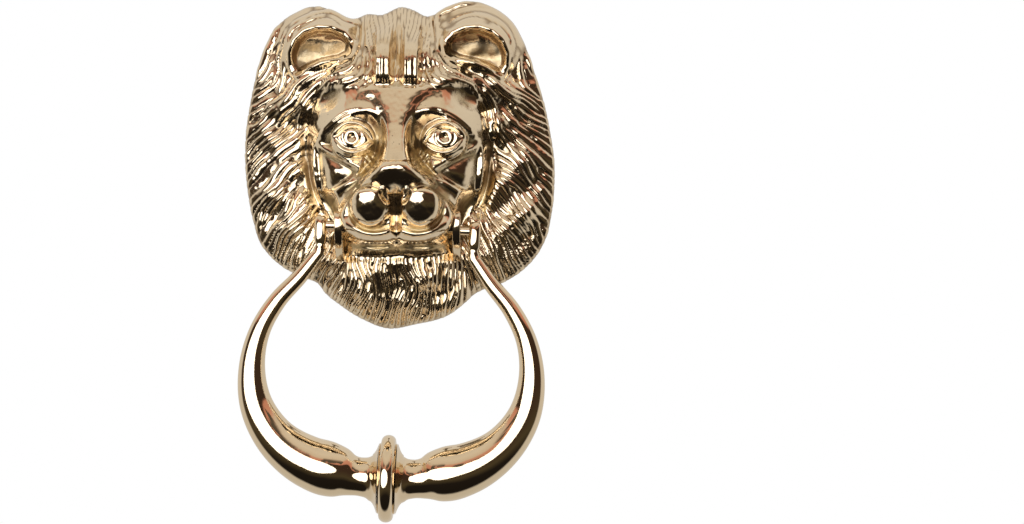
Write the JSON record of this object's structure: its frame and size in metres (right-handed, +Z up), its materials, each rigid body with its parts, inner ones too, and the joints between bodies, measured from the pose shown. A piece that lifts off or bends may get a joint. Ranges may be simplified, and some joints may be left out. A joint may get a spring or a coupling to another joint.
{
  "type": "lion mask door knocker",
  "caption": "Cast brass lion-head door knocker: hollow mask with through-door studs, and a horn-shaped ring that swings on side pivots to knock.",
  "frame": {"origin": "middle of the mask on its flat back plane, which rests on the door", "axes": "+Y into the door, +Z up, +X to the right of someone facing the door"},
  "size_m": [0.1197, 0.1034, 0.1981],
  "materials": {
    "mask_brass": "polished casting with matt recesses",
    "ring_brass": "mirror polished",
    "pin_brass": "turned",
    "stud_steel": "zinc plated",
    "washer_brass": "satin",
    "nut_brass": "polished"
  },
  "bodies": {
    "mask": {"lion_mask": "mask_brass", "upper_fixing_stud": "stud_steel", "lower_fixing_stud": "stud_steel", "upper_washer": "washer_brass", "lower_washer": "washer_brass", "upper_dome_nut": "nut_brass", "lower_dome_nut": "nut_brass"},
    "ring": {"left_ring_arm": "ring_brass", "right_ring_arm": "ring_brass", "ring_collar": "ring_brass", "ring_tie_stud": "pin_brass", "left_pivot_pin": "pin_brass", "right_pivot_pin": "pin_brass"}
  },
  "joints": [
    {"name": "ring_swing", "type": "hinge", "parent": "mask", "child": "ring", "pos_m": [0, -0.02, -0.0244], "axis": [-0.9991, 0, 0.0419], "range_deg": [-2, 170]}
  ]
}
